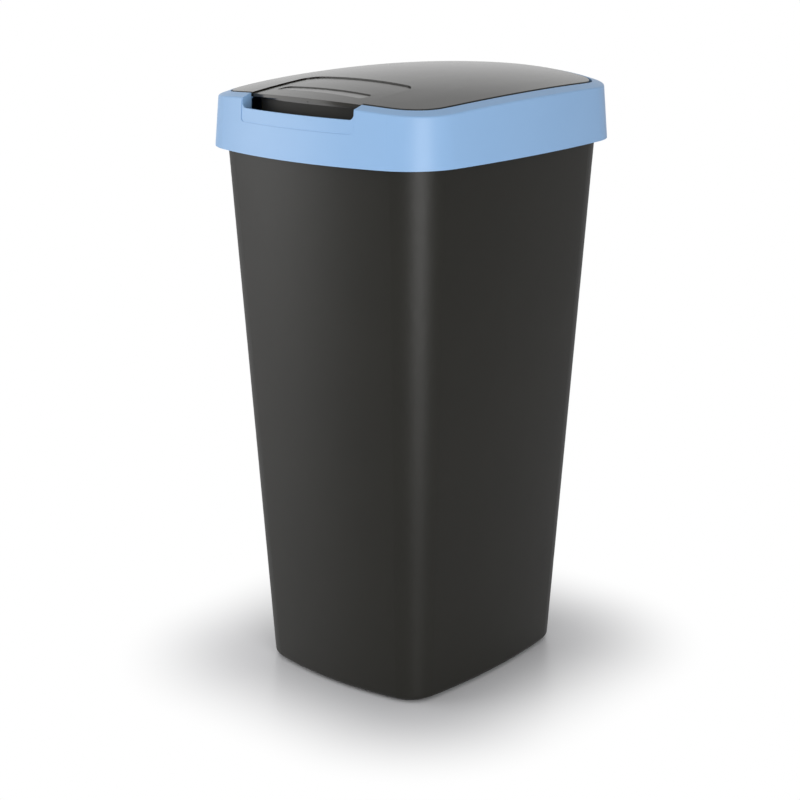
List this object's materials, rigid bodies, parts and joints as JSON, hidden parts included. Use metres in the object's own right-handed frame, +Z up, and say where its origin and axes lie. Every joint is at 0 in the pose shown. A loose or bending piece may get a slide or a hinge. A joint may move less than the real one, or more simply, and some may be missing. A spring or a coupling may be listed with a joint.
{
  "type": "recycling bin",
  "caption": "Tall tapered recycling bin with a lift-off coloured lid ring and a rear-hinged domed flap with a finger notch at the front.",
  "frame": {"origin": "on the floor, under the middle of the bin's footprint", "axes": "+Z up; -Y out of the front, where the finger notch is; +X to the right of someone who looks along +Y at the front"},
  "size_m": [0.296, 0.352, 0.6017],
  "materials": {
    "bucket_plastic": "fine satin grain, dark warm grey recycled plastic",
    "ring_plastic": "smooth semi-gloss light blue",
    "flap_plastic": "smooth satin dark grey"
  },
  "bodies": {
    "bucket": {"bin_body": "bucket_plastic"},
    "ring": {"lid_frame": "ring_plastic"},
    "lid": {"flap": "flap_plastic"}
  },
  "joints": [
    {"name": "ring_lift", "type": "slide", "parent": "bucket", "child": "ring", "axis": [0, 0, 1], "range_m": [0, 0.06]},
    {"name": "flap_hinge", "type": "hinge", "parent": "ring", "child": "lid", "pos_m": [0, 0.143, 0.5884], "axis": [-1, 0, 0], "range_deg": [0, 95]}
  ]
}
